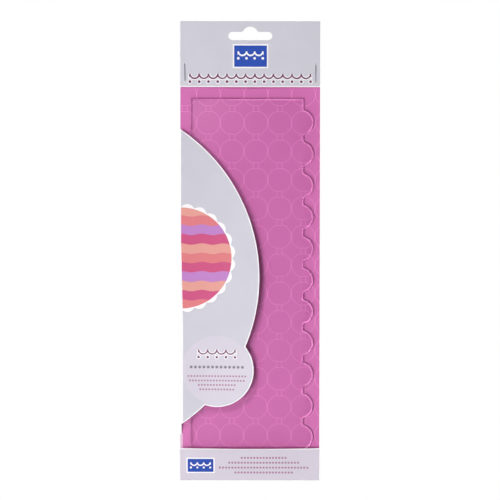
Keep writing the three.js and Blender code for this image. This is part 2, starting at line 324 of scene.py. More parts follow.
# Shaders
class Shader:
    """A material with short calls for the nodes that its print and finish need."""

    def __init__(self, name):
        self.material = bpy.data.materials.new(name)
        self.material.use_nodes = True
        self.nodes = self.material.node_tree.nodes
        self.links = self.material.node_tree.links
        self.surface = self.nodes["Principled BSDF"]
        self.place = self.nodes.new("ShaderNodeTexCoord").outputs["Object"]
        split = self.nodes.new("ShaderNodeSeparateXYZ")
        self.links.new(self.place, split.inputs[0])
        self.x = split.outputs[0]
        self.z = split.outputs[2]
        flat = self.nodes.new("ShaderNodeCombineXYZ")
        self.links.new(self.x, flat.inputs[0])
        self.links.new(self.z, flat.inputs[2])
        self.flat = flat.outputs[0]

    def feed(self, socket, value):
        """Sets a socket to a plain value, or links it to another node's output."""
        if isinstance(value, bpy.types.NodeSocket):
            self.links.new(value, socket)
        else:
            socket.default_value = value

    def math(self, operation, *values):
        """The result of a math node."""
        node = self.nodes.new("ShaderNodeMath")
        node.operation = operation
        for socket, value in zip(node.inputs, values):
            self.feed(socket, value)
        return node.outputs[0]

    def all_of(self, *masks):
        """A mask that is 1 where all the given ones are."""
        mask = masks[0]
        for other in masks[1:]:
            mask = self.math("MULTIPLY", mask, other)
        return mask

    def distance(self, centre):
        """Distance from an (x, z) place, seen from the front."""
        node = self.nodes.new("ShaderNodeVectorMath")
        node.operation = "DISTANCE"
        self.links.new(self.flat, node.inputs[0])
        node.inputs[1].default_value = (centre[0], 0, centre[1])
        return node.outputs["Value"]

    def hypot(self, across, up):
        """Length of the slanted side over two square ones."""
        squares = self.math("POWER", across, 2.0), self.math("POWER", up, 2.0)
        return self.math("SQRT", self.math("ADD", *squares))

    def wrapped(self, value, middle, pitch):
        """The signed distance to the nearest of evenly spaced places."""
        wrap = self.math("WRAP", value, middle + pitch / 2, middle - pitch / 2)
        return self.math("SUBTRACT", wrap, middle)

    def between(self, value, low, high):
        """A mask that is 1 from low to high."""
        return self.math("COMPARE", value, (low + high) / 2, (high - low) / 2)

    def paint(self, under, mask, over):
        """One colour laid over another where the mask is 1."""
        node = self.nodes.new("ShaderNodeMix")
        node.data_type = "RGBA"
        self.feed(node.inputs[0], mask)
        self.feed(node.inputs[6], under)
        self.feed(node.inputs[7], over)
        return node.outputs[2]

    def noise(self, scale, detail=3.0, stretch=(1, 1, 1)):
        """A noise value from 0 to 1, fixed to the object."""
        mapping = self.nodes.new("ShaderNodeMapping")
        mapping.inputs["Scale"].default_value = stretch
        self.links.new(self.place, mapping.inputs[0])
        node = self.nodes.new("ShaderNodeTexNoise")
        node.inputs["Scale"].default_value = scale
        node.inputs["Detail"].default_value = detail
        self.links.new(mapping.outputs[0], node.inputs["Vector"])
        return node.outputs["Fac"]

    def spread(self, noise, low, high):
        """Noise, most of which lies around its middle, spread from low to high."""
        node = self.nodes.new("ShaderNodeMapRange")
        self.links.new(noise, node.inputs["Value"])
        node.inputs["From Min"].default_value = NOISE_LOW
        node.inputs["From Max"].default_value = NOISE_HIGH
        node.inputs["To Min"].default_value = low
        node.inputs["To Max"].default_value = high
        return node.outputs["Result"]

    def shade(self, colour, noise, low, high):
        """A colour made a little darker or lighter by noise."""
        node = self.nodes.new("ShaderNodeHueSaturation")
        self.links.new(self.spread(noise, low, high), node.inputs["Value"])
        self.feed(node.inputs["Color"], colour)
        return node.outputs[0]

    def bump(self, height, depth, strength):
        """Raises and lowers the surface by a height from 0 to 1."""
        node = self.nodes.new("ShaderNodeBump")
        node.inputs["Distance"].default_value = depth
        node.inputs["Strength"].default_value = strength
        self.links.new(height, node.inputs["Height"])
        self.links.new(node.outputs[0], self.surface.inputs["Normal"])


def pick_by_ray(nodes, links, usual, others):
    """A shader that shows another one to each named kind of ray."""
    path = nodes.new("ShaderNodeLightPath")
    result = usual.outputs[0]
    for kind, shown in others:
        mix = nodes.new("ShaderNodeMixShader")
        links.new(path.outputs[kind], mix.inputs[0])
        links.new(result, mix.inputs[1])
        links.new(shown.outputs[0], mix.inputs[2])
        result = mix.outputs[0]
    return result


def finish_card(shader, colour, roughness):
    """Coated board: a faint cloud in the print, fine paper tooth and an uneven satin coat."""
    cloud = shader.noise(CLOUD_SCALE, 2)
    tooth = shader.noise(TOOTH_SCALE, 3)
    coat = shader.noise(COAT_SCALE, 4)
    low, high = (roughness + change for change in COAT_RANGE)
    shader.links.new(shader.shade(colour, cloud, *CLOUD_RANGE), shader.surface.inputs["Base Color"])
    shader.links.new(shader.spread(coat, low, high), shader.surface.inputs["Roughness"])
    shader.surface.inputs["Specular IOR Level"].default_value = CARD_GLOSS
    shader.bump(tooth, TOOTH_DEPTH, 0.5)
    return shader.material


def garland(shader, middle, count, pitch, stroke, bead):
    """Mask of a row of hanging loops with a bead under each joint, centred on an (x, z) place."""
    half = count * pitch / 2
    across = shader.wrapped(shader.x, middle[0] - half + pitch / 2, pitch)
    up = shader.math("SUBTRACT", shader.z, middle[1])
    loops = shader.all_of(
        shader.math("COMPARE", shader.hypot(across, up), pitch / 2, stroke / 2),
        shader.math("LESS_THAN", up, 0.0),
        shader.math("COMPARE", shader.x, middle[0], half + stroke / 2),
    )
    dots = beads(shader, (middle[0], middle[1] - BEAD_DROP * pitch), count + 1, pitch, bead)
    return shader.math("MAXIMUM", loops, dots)


def beads(shader, middle, count, pitch, radius):
    """Mask of a row of dots, centred on an (x, z) place."""
    half = count * pitch / 2
    across = shader.wrapped(shader.x, middle[0] - half + pitch / 2, pitch)
    up = shader.math("SUBTRACT", shader.z, middle[1])
    return shader.all_of(
        shader.math("LESS_THAN", shader.hypot(across, up), radius),
        shader.between(shader.x, middle[0] - half, middle[0] + half),
    )


def block(shader, middle, size):
    """Mask of a rectangle, centred on an (x, z) place."""
    return shader.all_of(
        shader.math("COMPARE", shader.x, middle[0], size[0] / 2),
        shader.math("COMPARE", shader.z, middle[1], size[1] / 2),
    )


def badge(shader, colour, middle, size, border):
    """Paints a plain blue badge with a white border and a small white garland of three loops."""
    colour = shader.paint(colour, block(shader, middle, size), PAPER_WHITE)
    inner = (size[0] - 2 * border, size[1] - 2 * border)
    colour = shader.paint(colour, block(shader, middle, inner), BLUE)
    pitch = 0.25 * inner[0]
    above = (middle[0], middle[1] + 0.2 * size[1])
    return shader.paint(colour, garland(shader, above, 3, pitch, 0.2 * pitch, 0.16 * pitch), PAPER_WHITE)


def plum_garland(shader, colour, row, line, halo):
    """Paints a plum garland with a white halo around it."""
    colour = shader.paint(colour, garland(shader, **row, **halo), PAPER_WHITE)
    return shader.paint(colour, garland(shader, **row, **line), PLUM)


def dot_rows(shader, colour, first, counts, drop, pitch, radius):
    """Paints rows of dots, each one drop below the one before."""
    for row, count in enumerate(counts):
        place = (first[0], first[1] - row * drop)
        colour = shader.paint(colour, beads(shader, place, count, pitch, radius), MAUVE)
    return colour


def make_inside():
    """The card's inside: pink with a lattice of pale rings."""
    shader = Shader("card_inside_pink")
    across = shader.wrapped(shader.x, RING_CENTRE[0], RING_PITCH_X)
    up = shader.wrapped(shader.z, RING_CENTRE[1], RING_PITCH_Z)
    side = shader.math("SUBTRACT", RING_PITCH_X / 2, shader.math("ABSOLUTE", across))
    end = shader.math("SUBTRACT", RING_HALF_HEIGHT, shader.math("ABSOLUTE", up))
    round_edge = shader.math("SUBTRACT", RING_RADIUS, shader.hypot(across, up))
    depth = shader.math("MINIMUM", round_edge, shader.math("MINIMUM", side, end))
    ring = shader.between(depth, 0.0, RING_LINE)
    neck = shader.all_of(
        shader.math("COMPARE", shader.math("ABSOLUTE", across), NECK_HALF, RING_LINE / 2),
        shader.math("LESS_THAN", depth, 0.0),
    )
    lines = shader.math("MAXIMUM", ring, neck)
    colour = shader.paint(PINK, lines, RING)
    # painted highlight: a pale pink strip along the back's left edge, below the side wall
    painted_highlight = shader.all_of(
        shader.math("LESS_THAN", shader.x, back_low.x + PAINTED_HIGHLIGHT_STRIP),
        shader.math("LESS_THAN", shader.z, wall_low.z),
    )
    colour = shader.paint(colour, painted_highlight, PALE_PINK)
    return finish_card(shader, colour, INSIDE_ROUGHNESS)


def make_plain():
    """The card's outside where nothing is printed but its ground colour."""
    shader = Shader("card_outside_plain")
    return finish_card(shader, LILAC, OUTSIDE_ROUGHNESS)


def make_header_print():
    """The header's front: a badge, a garland and a white lower edge."""
    shader = Shader("card_outside_header")
    colour = badge(shader, LILAC, **HEADER_BADGE)
    colour = plum_garland(shader, colour, HEADER_GARLAND, HEADER_LINE, HEADER_HALO)
    edge = shader.math("LESS_THAN", shader.z, header_low.z + WHITE_EDGE)
    colour = shader.paint(colour, edge, PAPER_WHITE)
    return finish_card(shader, colour, OUTSIDE_ROUGHNESS)


def make_bottom_print():
    """The bottom flap's front: a badge, rows of dots and a white upper edge."""
    shader = Shader("card_outside_bottom")
    colour = badge(shader, ROSE_GREY, **BOTTOM_BADGE)
    colour = dot_rows(shader, colour, **BOTTOM_DOTS)
    edge = shader.math("GREATER_THAN", shader.z, LIP - WHITE_EDGE)
    colour = shader.paint(colour, edge, PAPER_WHITE)
    return finish_card(shader, colour, OUTSIDE_ROUGHNESS)


def medallion_stripes(shader, up):
    """Colours of the medallion's rippled stripes, from its lower to its upper end."""
    turn = shader.math("MULTIPLY", shader.x, RIPPLE_RATE)
    ripple = shader.math("MULTIPLY", shader.math("SINE", turn), RIPPLE_HEIGHT)
    height = shader.math("ADD", up, ripple)
    share = shader.math("MULTIPLY_ADD", height, 0.5 / MEDALLION_RADIUS, 0.5)
    ramp = shader.nodes.new("ShaderNodeValToRGB")
    ramp.color_ramp.interpolation = "CONSTANT"
    stops = ramp.color_ramp.elements
    for index, shade in enumerate(MEDALLION_STRIPES):
        start = index / len(MEDALLION_STRIPES)
        stripe = stops[index] if index < 2 else stops.new(start)
        stripe.position = start
        stripe.color = shade
    shader.links.new(share, ramp.inputs[0])
    return ramp.outputs[0]


def make_window_print():
    """The window flap's front: a striped medallion at the crease and a label on the lobe."""
    shader = Shader("card_outside_window")
    along = shader.math("SUBTRACT", shader.x, MEDALLION[0])
    up = shader.math("SUBTRACT", shader.z, MEDALLION[1])
    turn = shader.math("ARCTAN2", up, along)
    wave = shader.math("SINE", shader.math("MULTIPLY", turn, MEDALLION_SCALLOPS / 2))
    rim = shader.math("MULTIPLY_ADD", shader.math("ABSOLUTE", wave), MEDALLION_RISE, MEDALLION_RADIUS)
    reach = shader.distance(MEDALLION)
    colour = shader.paint(WINDOW_LILAC, shader.math("LESS_THAN", reach, rim), PAPER_WHITE)
    inner = shader.math("LESS_THAN", reach, MEDALLION_RADIUS - MEDALLION_BORDER)
    colour = shader.paint(colour, inner, medallion_stripes(shader, up))
    lobe = shader.distance(LOBE)
    label = shader.math("LESS_THAN", lobe, LOBE_RADIUS - LABEL_MARGIN)
    colour = shader.paint(colour, label, LABEL)
    colour = plum_garland(shader, colour, LOBE_GARLAND, LOBE_LINE, LOBE_HALO)
    colour = shader.paint(colour, beads(shader, **LOBE_RULE), GREY)
    colour = dot_rows(shader, colour, **LOBE_DOTS)
    sweep = shader.math("SUBTRACT", shader.distance(SWEEP), SWEEP_RADIUS)
    lobe_edge = shader.math("SUBTRACT", lobe, LOBE_RADIUS)
    depth = shader.math("MINIMUM", sweep, lobe_edge)
    colour = shader.paint(colour, shader.math("GREATER_THAN", depth, -WHITE_EDGE), PAPER_WHITE)
    # painted highlight: white along the crease, widening downwards from FOLD_TOP
    highlight_share = shader.math("DIVIDE", shader.math("SUBTRACT", FOLD_TOP, shader.z), FOLD_FADE)
    width = shader.math("MULTIPLY", shader.math("MINIMUM", highlight_share, 1.0), FOLD_HIGHLIGHT_WIDTH)
    fold = shader.math("LESS_THAN", shader.x, shader.math("ADD", width, CREASE))
    colour = shader.paint(colour, fold, PAPER_WHITE)
    return finish_card(shader, colour, OUTSIDE_ROUGHNESS)


def make_core():
    """The board's cut edge: white, with its fibres."""
    shader = Shader("card_core")
    fibres = shader.noise(FIBRE_SCALE, 4, FIBRE_STRETCH)
    colour = shader.shade(CORE_WHITE, fibres, *FIBRE_RANGE)
    shader.links.new(colour, shader.surface.inputs["Base Color"])
    shader.surface.inputs["Roughness"].default_value = CORE_ROUGHNESS
    shader.bump(fibres, FIBRE_DEPTH, 0.5)
    return shader.material


def make_acrylic(name, shade=None, dim=CLEAR, frosted=False):
    """Clear acrylic that lets lamplight through to the card behind it.

    Light that reaches an edge from inside the plate is turned back by it. The card is brighter there,
    by the mesh's edge_glow, and a band of it just outside the edge stays in shade. An edge has a shade,
    the colour of the lamplight that passes it, and a dim, the colour of the soft light that does.
    """
    shader = Shader(name)
    glass = shader.surface
    glass.inputs["Base Color"].default_value = CUT if frosted else CLEAR
    glass.inputs["Transmission Weight"].default_value = FROST if frosted else 1.0
    glass.inputs["IOR"].default_value = ACRYLIC_IOR
    lit = shader.nodes.new("ShaderNodeBsdfTransparent")
    if shade:
        uneven = shader.spread(shader.noise(EDGE_SCALE, 2), *EDGE_ROUGHNESS)
        shader.links.new(uneven, glass.inputs["Roughness"])
        lit.inputs["Color"].default_value = shade
    else:
        glass.inputs["Roughness"].default_value = 0.0
        shader.bump(shader.noise(SHEET_SCALE, 2), SHEET_DEPTH, SHEET_BUMP)
        glow = shader.nodes.new("ShaderNodeAttribute")
        glow.attribute_name = "edge_glow"
        shader.links.new(shader.paint(CLEAR, glow.outputs["Fac"], EDGE_LIGHT), lit.inputs["Color"])
    soft = shader.nodes.new("ShaderNodeBsdfTransparent")
    soft.inputs["Color"].default_value = dim
    kinds = (("Is Diffuse Ray", soft), ("Is Shadow Ray", lit))
    result = pick_by_ray(shader.nodes, shader.links, glass, kinds)
    shader.links.new(result, shader.nodes["Material Output"].inputs["Surface"])
    return shader.material


def make_wire():
    """Zinc-plated staple wire with fine draw marks along it."""
    shader = Shader("staple_wire")
    marks = shader.noise(MARK_SCALE, 3, MARK_STRETCH)
    shader.links.new(shader.shade(ZINC, marks, *MARK_RANGE), shader.surface.inputs["Base Color"])
    shader.surface.inputs["Metallic"].default_value = 1.0
    shader.links.new(shader.spread(marks, *WIRE_ROUGHNESS), shader.surface.inputs["Roughness"])
    shader.bump(marks, MARK_DEPTH, MARK_BUMP)
    return shader.material


INSIDE = make_inside()
PLAIN = make_plain()
CORE = make_core()

# Material slots of a card panel, and of the plate
OUTER_FACE, INNER_FACE, CUT_EDGE = range(3)
PLATE_FACE, PLATE_ROUNDING, PLATE_WALL, PLATE_SIDE = range(4)


# Meshes
def new_piece(name, points, faces, materials, slots, smooth_angle=None):
    """A mesh object from points and faces, with one material slot number for each face."""
    mesh = bpy.data.meshes.new(name)
    mesh.from_pydata(points, [], faces)
    for material in materials:
        mesh.materials.append(material)
    mesh.polygons.foreach_set("material_index", slots)
    mesh.validate()
    mesh.update()
    if smooth_angle is not None:
        mesh.polygons.foreach_set("use_smooth", [True] * len(mesh.polygons))
        mesh.set_sharp_from_angle(angle=math.radians(smooth_angle))
    piece = bpy.data.objects.new(name, mesh)
    bpy.context.scene.collection.objects.link(piece)
    return piece


def face_outwards(piece):
    """Turns a closed mesh's faces to point outwards."""
    bm = bmesh.new()
    bm.from_mesh(piece.data)
    bmesh.ops.remove_doubles(bm, verts=bm.verts, dist=WELD)
    bmesh.ops.recalc_face_normals(bm, faces=bm.faces)
    bm.to_mesh(piece.data)
    bm.free()


def evenly(start, end, steps):
    """Evenly spaced values, both ends included."""
    return [start + (end - start) * i / steps for i in range(steps + 1)]


def arc(centre, radius, start, end, steps):
    """Points along an arc, both ends included."""
    turns = evenly(start, end, steps)
    return [(centre[0] + radius * math.cos(t), centre[1] + radius * math.sin(t)) for t in turns]


def tidy_loop(points):
    """The loop without points that repeat the one before."""
    kept = []
    for point in points:
        if not kept or math.dist(point, kept[-1]) > LOOP_TOLERANCE:
            kept.append(point)
    if math.dist(kept[0], kept[-1]) < LOOP_TOLERANCE:
        kept.pop()
    return kept


def tube_faces(rings, size):
    """Faces that join each ring of points to the next."""
    faces = []
    for ring in range(rings - 1):
        for i in range(size):
            a = ring * size + i
            b = ring * size + (i + 1) % size
            faces.append([a, b, b + size, a + size])
    return faces


def inside(point, loop):
    """True if a point lies inside a closed loop."""
    x, z = point
    hit = False
    for (ax, az), (bx, bz) in zip(loop, loop[1:] + loop[:1]):
        if (az > z) != (bz > z) and x < ax + (bx - ax) * (z - az) / (bz - az):
            hit = not hit
    return hit


def near(point, loops, gap):
    """True if a point lies closer than a gap to a loop's points."""
    return any((point[0] - x) ** 2 + (point[1] - z) ** 2 < gap * gap for loop in loops for x, z in loop)


def fill(loops, grid, lines=()):
    """Triangles inside the first loop and outside the others.

    They stand on the loops' points, on set lines and on the points of a grid, where there is one.
    """
    points = []
    edges = []
    for loop in loops:
        start = len(points)
        points += loop
        edges += [(start + i, start + (i + 1) % len(loop)) for i in range(len(loop))]
    for ends in lines:
        edges.append((len(points), len(points) + 1))
        points += ends
    if grid:
        xs = [p[0] for p in loops[0]]
        zs = [p[1] for p in loops[0]]
        columns = int((max(xs) - min(xs)) / grid)
        rows = int((max(zs) - min(zs)) / grid)
        for i in range(1, columns):
            for k in range(1, rows):
                point = (min(xs) + i * grid, min(zs) + k * grid)
                if inside(point, loops[0]) and not near(point, loops, 0.5 * grid):
                    points.append(point)
    found = delaunay_2d_cdt([Vector(p) for p in points], edges, [], 0, FILL_TOLERANCE)
    flat = [tuple(v) for v in found[0]]
    kept = []
    for face in found[2]:
        middle = tuple(sum(flat[i][k] for i in face) / len(face) for k in (0, 1))
        if inside(middle, loops[0]) and not any(inside(middle, hole) for hole in loops[1:]):
            kept.append(list(face))
    return flat, kept


def make_sheet(name, loops, grid, place, materials, smooth_angle=40, lines=()):
    """A board panel from its flat outline. place(u, v, depth) gives a point, depth 0 being the outer face."""
    flat, faces = fill(loops, grid, lines)
    count = len(flat)
    points = [place(u, v, 0.0) for u, v in flat] + [place(u, v, BOARD) for u, v in flat]
    sides = {}
    for face in faces:
        for a, b in zip(face, face[1:] + face[:1]):
            if (b, a) in sides:
                del sides[(b, a)]
            else:
                sides[(a, b)] = True
    outer = [list(f) for f in faces]
    inner = [[i + count for i in reversed(f)] for f in faces]
    edge = [[b, a, a + count, b + count] for a, b in sides]
    slots = [OUTER_FACE] * len(outer) + [INNER_FACE] * len(inner) + [CUT_EDGE] * len(edge)
    piece = new_piece(name, points, outer + inner + edge, materials, slots, smooth_angle)
    face_outwards(piece)
    return piece


# Outlines
def slot_outline(steps=10):
    """The hang slot's outline: a wide slot with a round hump in the middle."""
    end = SLOT_HEIGHT / 2
    reach = HUMP_RADIUS + HUMP_FILLET
    fillet_z = HUMP_FILLET - HUMP_RISE
    turn = math.asin((fillet_z + HUMP_RADIUS) / reach)
    fillet_x = reach * math.cos(turn)
    side = SLOT_WIDTH / 2 - end
    half = math.pi / 2
    left = arc((0, -HUMP_RADIUS), HUMP_RADIUS, half, math.pi - turn, steps)
    left += arc((-fillet_x, fillet_z), HUMP_FILLET, -turn, -half, steps // 2)
    left += arc((-side, -HUMP_RISE - end), end, half, 3 * half, steps)
    right = [(-x, z) for x, z in reversed(left)]
    return tidy_loop(left + right)


def staple_holes(steps=12):
    """Round holes where the staples' legs pass through the card."""
    loops = []
    for name in STAPLE_TILT:
        low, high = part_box(name)
        middle = (low + high) / 2
        arm = (STAPLE_CROWN - STAPLE_WIRE) / 2
        for side in (-arm, arm):
            centre = (
                middle.x + side * math.sin(STAPLE_TILT[name]),
                middle.z + side * math.cos(STAPLE_TILT[name]),
            )
            loops.append(arc(centre, STAPLE_HOLE, 0, 2 * math.pi, steps)[:-1])
    return loops


def flap_outline(steps=40):
    """The window flap's outline: a long sweep that runs into a round lobe."""
    across = math.dist(LOBE, SWEEP)
    towards = math.atan2(LOBE[1] - SWEEP[1], LOBE[0] - SWEEP[0])
    chord = (SWEEP_RADIUS**2 - LOBE_RADIUS**2 + across**2) / (2 * across)
    sweep_turn = math.acos(chord / SWEEP_RADIUS)
    lobe_turn = math.acos((chord - across) / LOBE_RADIUS)
    half = math.asin(SWEEP_HALF / SWEEP_RADIUS)
    points = arc(SWEEP, SWEEP_RADIUS, -half, towards - sweep_turn, steps // 2)
    points += arc(LOBE, LOBE_RADIUS, towards - lobe_turn, towards + lobe_turn, steps)
    points += arc(SWEEP, SWEEP_RADIUS, towards + sweep_turn, half, steps)
    return tidy_loop(points)


def plate_outline(inset, steps=40):
    """The scraper's outline, drawn in by an inset: straight on three sides, scalloped on the right."""
    land = plate_high.x - SCALLOP_RISE - inset
    arc_x = plate_high.x - SCALLOP_RADIUS
    radius = SCALLOP_RADIUS - inset
    half = math.acos((land - arc_x) / radius)
    lowest = (plate_low.z + plate_high.z - SCALLOP_STEPS * SCALLOP_PITCH) / 2
    points = [(plate_low.x + inset, plate_low.z + inset), (land, plate_low.z + inset)]
    for i in range(SCALLOP_STEPS + 1):
        points += arc((arc_x, lowest + i * SCALLOP_PITCH), radius, -half, half, steps)
    points += [(land, plate_high.z - inset), (plate_low.x + inset, plate_high.z - inset)]
    return points


# Pieces
def make_back():
    """The card's flat back, cut in at the left where the side wall is folded off it."""
    inset = CREASE - back_low.x
    outline = [
        (back_low.x, back_low.z),
        (back_high.x, back_low.z),
        (back_high.x, back_high.z),
        (back_low.x, back_high.z),
        (back_low.x, wall_high.z + inset),
        (CREASE, wall_high.z),
        (CREASE, wall_low.z),
        (back_low.x, wall_low.z - inset),
    ]

    def place(u, v, depth):
        return (u, back_high.y - depth, v)

    loops = [outline, slot_outline(), *staple_holes()]
    piece = make_sheet("back_card", loops, 0, place, [PLAIN, INSIDE, CORE], smooth_angle=None)
    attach(piece, "card")
    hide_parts("back_panel")


def make_header():
    """The header, folded over the back's top, with its foot lifted a little between the staples."""
    bend = (header_high.y - header_low.y) / 2
    fold = header_high.z - bend
    ends = evenly(fold, fold + math.pi * bend, HEADER_BENDS)
    outline = [(u, header_low.z) for u in evenly(header_low.x, header_high.x, HEADER_STEPS)]
    outline += [(header_high.x, v) for v in ends]
    outline += [(header_low.x, v) for v in reversed(ends)]
    rows = [[(header_low.x, v), (header_high.x, v)] for v in ends[:-1]]

    def place(u, v, depth):
        if v <= fold:
            share = (fold - v) / (fold - header_low.z)
            across = 1 - (u / header_high.x) ** 2
            lift = HEADER_LIFT * share**3 * (HEADER_SIDE + (1 - HEADER_SIDE) * across**2)
            return (u, header_low.y + depth - lift, v)
        turn = (v - fold) / bend
        return (u, -bend - (bend - depth) * math.cos(turn), fold + (bend - depth) * math.sin(turn))

    loops = [outline, slot_outline(), *staple_holes()]
    piece = make_sheet("header_card", loops, GRID, place, [make_header_print(), INSIDE, CORE], lines=rows)
    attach(piece, "card")
    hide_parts("header_flap")


def make_wall():
    """The side wall. A thin skin at each crease wraps the edge of the panel next to it."""
    face = CREASE - SKIN
    skin = CREASE - SKIN_CORE
    points = []
    for row in range(WALL_ROWS + 1):
        share = row / WALL_ROWS
        v = wall_high.z + (wall_low.z - wall_high.z) * (1 - (1 - share) ** 2)
        above = v - wall_low.z
        width = min(max(above, 0) / WALL_TAPER, 1) ** 2
        front = width * wall_low.y + (1 - width) * (wall_high.y - WALL_END)
        tip = flap_low.y if v > flap_low.z else front
        section = [
            (face, 0.0),
            (face, tip),
            (skin, tip),
            (skin, front),
            (wall_high.x, front),
            (wall_high.x, wall_high.y),
            (skin, wall_high.y),
            (skin, 0.0),
        ]
        points += [(x, y, v) for x, y in section]
    size = len(section)
    faces = tube_faces(WALL_ROWS + 1, size)
    slots = [{0: OUTER_FACE, 4: INNER_FACE}.get(i, CUT_EDGE) for i in range(size)] * WALL_ROWS
    faces.append(list(range(size)))
    faces.append(list(range(WALL_ROWS * size, (WALL_ROWS + 1) * size)))
    slots += [CUT_EDGE, CUT_EDGE]
    piece = new_piece("side_card", points, faces, [PLAIN, INSIDE, CORE], slots)
    face_outwards(piece)
    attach(piece, "side_wall")
    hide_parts("side_wall")


def make_window():
    """The window flap, bowed forward towards its free edge."""

    def place(u, v, depth):
        share = (u - CREASE) / SWEEP_BULGE
        return (u, flap_low.y + depth - FLAP_LIFT * share**2, v)

    piece = make_sheet("window_card", [flap_outline()], GRID, place, [make_window_print(), INSIDE, CORE])
    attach(piece, "window_flap")
    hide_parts("window_flap")


def make_bottom():
    """The bottom flap, leaning forward, with its lip bowed out in the middle."""
    length = BOTTOM_HEIGHT / math.cos(BOTTOM_LEAN)
    foot = [(u, 0.0) for u in evenly(bottom_low.x, bottom_high.x, LIP_STEPS)]
    lip = [(u, length) for u, _ in reversed(foot)]

    def place(u, v, depth):
        across = 1 - (u / bottom_high.x) ** 2
        turn = BOTTOM_LEAN + LIP_BOW * across * v / length
        out = BOARD - depth
        return (
            u,
            bottom_high.y - v * math.sin(turn) - out * math.cos(turn),
            bottom_low.z + v * math.cos(turn) - out * math.sin(turn),
        )

    piece = make_sheet("bottom_card", [foot + lip], GRID, place, [make_bottom_print(), INSIDE, CORE])
    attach(piece, "bottom_flap")
    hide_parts("bottom_flap")


def make_bottom_fold():
    """The rounded fold that joins the back to the bottom flap."""
    axis_y = (back_low.y + bottom_high.y) / 2
    radius = -axis_y
    points = []
    for layer in (radius, radius - BOARD):
        for i in range(FOLD_STEPS + 1):
            turn = -(math.pi - BOTTOM_LEAN) * i / FOLD_STEPS
            for x in (bottom_low.x, bottom_high.x):
                points.append((x, axis_y + layer * math.cos(turn), bottom_low.z + layer * math.sin(turn)))
    count = 2 * (FOLD_STEPS + 1)
    faces = []
    slots = []
    for i in range(FOLD_STEPS):
        a = 2 * i
        faces.append([a, a + 1, a + 3, a + 2])
        faces.append([count + a + 2, count + a + 3, count + a + 1, count + a])
        faces.append([a, a + 2, count + a + 2, count + a])
        faces.append([a + 3, a + 1, count + a + 1, count + a + 3])
        slots += [OUTER_FACE, INNER_FACE, CUT_EDGE, CUT_EDGE]
    end = count - 2
    faces.append([0, count, count + 1, 1])
    faces.append([end, end + 1, count + end + 1, count + end])
    slots += [CUT_EDGE, CUT_EDGE]
    piece = new_piece("bottom_fold", points, faces, [PLAIN, INSIDE, CORE], slots, smooth_angle=60)
    face_outwards(piece)
    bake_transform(piece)


def edge_glow(inner, outer):
    """How far each point of the plate's outline faces the way the key lamp's light goes, 0 to 1."""
    glow = []
    for (ax, az), (bx, bz) in zip(inner, outer):
        facing = ((bx - ax) * KEY_TRAVEL[0] + (bz - az) * KEY_TRAVEL[1]) / math.dist((ax, az), (bx, bz))
        glow.append(max(facing, 0.0))
    return glow


def make_scraper():
    """The plate, with its polished edges rounded over and a band inside them that can glow."""
    band = PLATE_ROUND + EDGE_BAND
    levels = [(band, 0.0)]
    for turn in evenly(0.0, math.pi / 2, ROUND_STEPS):
        levels.append((PLATE_ROUND * (1 - math.sin(turn)), PLATE_ROUND * (1 - math.cos(turn))))
    rings = [(inset, plate_low.y + depth) for inset, depth in levels]
    rings += [(inset, plate_high.y - depth) for inset, depth in reversed(levels)]
    points = []
    for inset, y in rings:
        points += [(x, y, z) for x, z in plate_outline(inset)]
    size = len(points) // len(rings)
    last = len(rings) - 1
    faces = tube_faces(len(rings), size)
    slots = []
    for ring in range(last):
        for i in range(size):
            wall = PLATE_SIDE if i == size - 1 else PLATE_WALL
            places = {0: PLATE_FACE, ROUND_STEPS + 1: wall, last - 1: PLATE_FACE}
            slots.append(places.get(ring, PLATE_ROUNDING))
    _, caps = fill([plate_outline(band)], 0)
    faces += [list(f) for f in caps]
    faces += [[i + last * size for i in reversed(f)] for f in caps]
    slots += [PLATE_FACE] * (2 * len(caps))
    glow = edge_glow(plate_outline(band), plate_outline(0.0))
    dark = [0.0] * size
    materials = [
        make_acrylic("clear_acrylic"),
        make_acrylic("clear_acrylic_rounding", EDGE_SHADE, EDGE_DIM),
        make_acrylic("clear_acrylic_edge", EDGE_SHADE, EDGE_DIM, frosted=True),
        make_acrylic("clear_acrylic_side", SIDE_SHADE, frosted=True),
    ]
    piece = new_piece("scraper_plate", points, faces, materials, slots, smooth_angle=30)
    values = dark + glow * (last - 1) + dark
    piece.data.attributes.new("edge_glow", "FLOAT", "POINT").data.foreach_set("value", values)
    face_outwards(piece)
    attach(piece, "scraper")
    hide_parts("scraper")
    return piece


def staple_path(front, rear, steps=6):
    """The middle of a staple's wire, as (y, z) points from one clinched end to the other."""
    half = (STAPLE_CROWN - STAPLE_WIRE) / 2
    tip = STAPLE_CROWN / 2 - STAPLE_LEG
    quarter = math.pi / 2
    corner = half - STAPLE_BEND
    path = [(rear, tip), (rear, corner)]
    path += arc((rear - STAPLE_BEND, corner), STAPLE_BEND, 0, quarter, steps)
    path += arc((front + STAPLE_BEND, corner), STAPLE_BEND, quarter, 2 * quarter, steps)
    path += [(y, -z) for y, z in reversed(path)]
    return tidy_loop(path)


def flattened(value):
    """A sine or cosine pushed outwards, for the wire's flattened section."""
    return math.copysign(abs(value) ** STAPLE_FLATNESS, value)


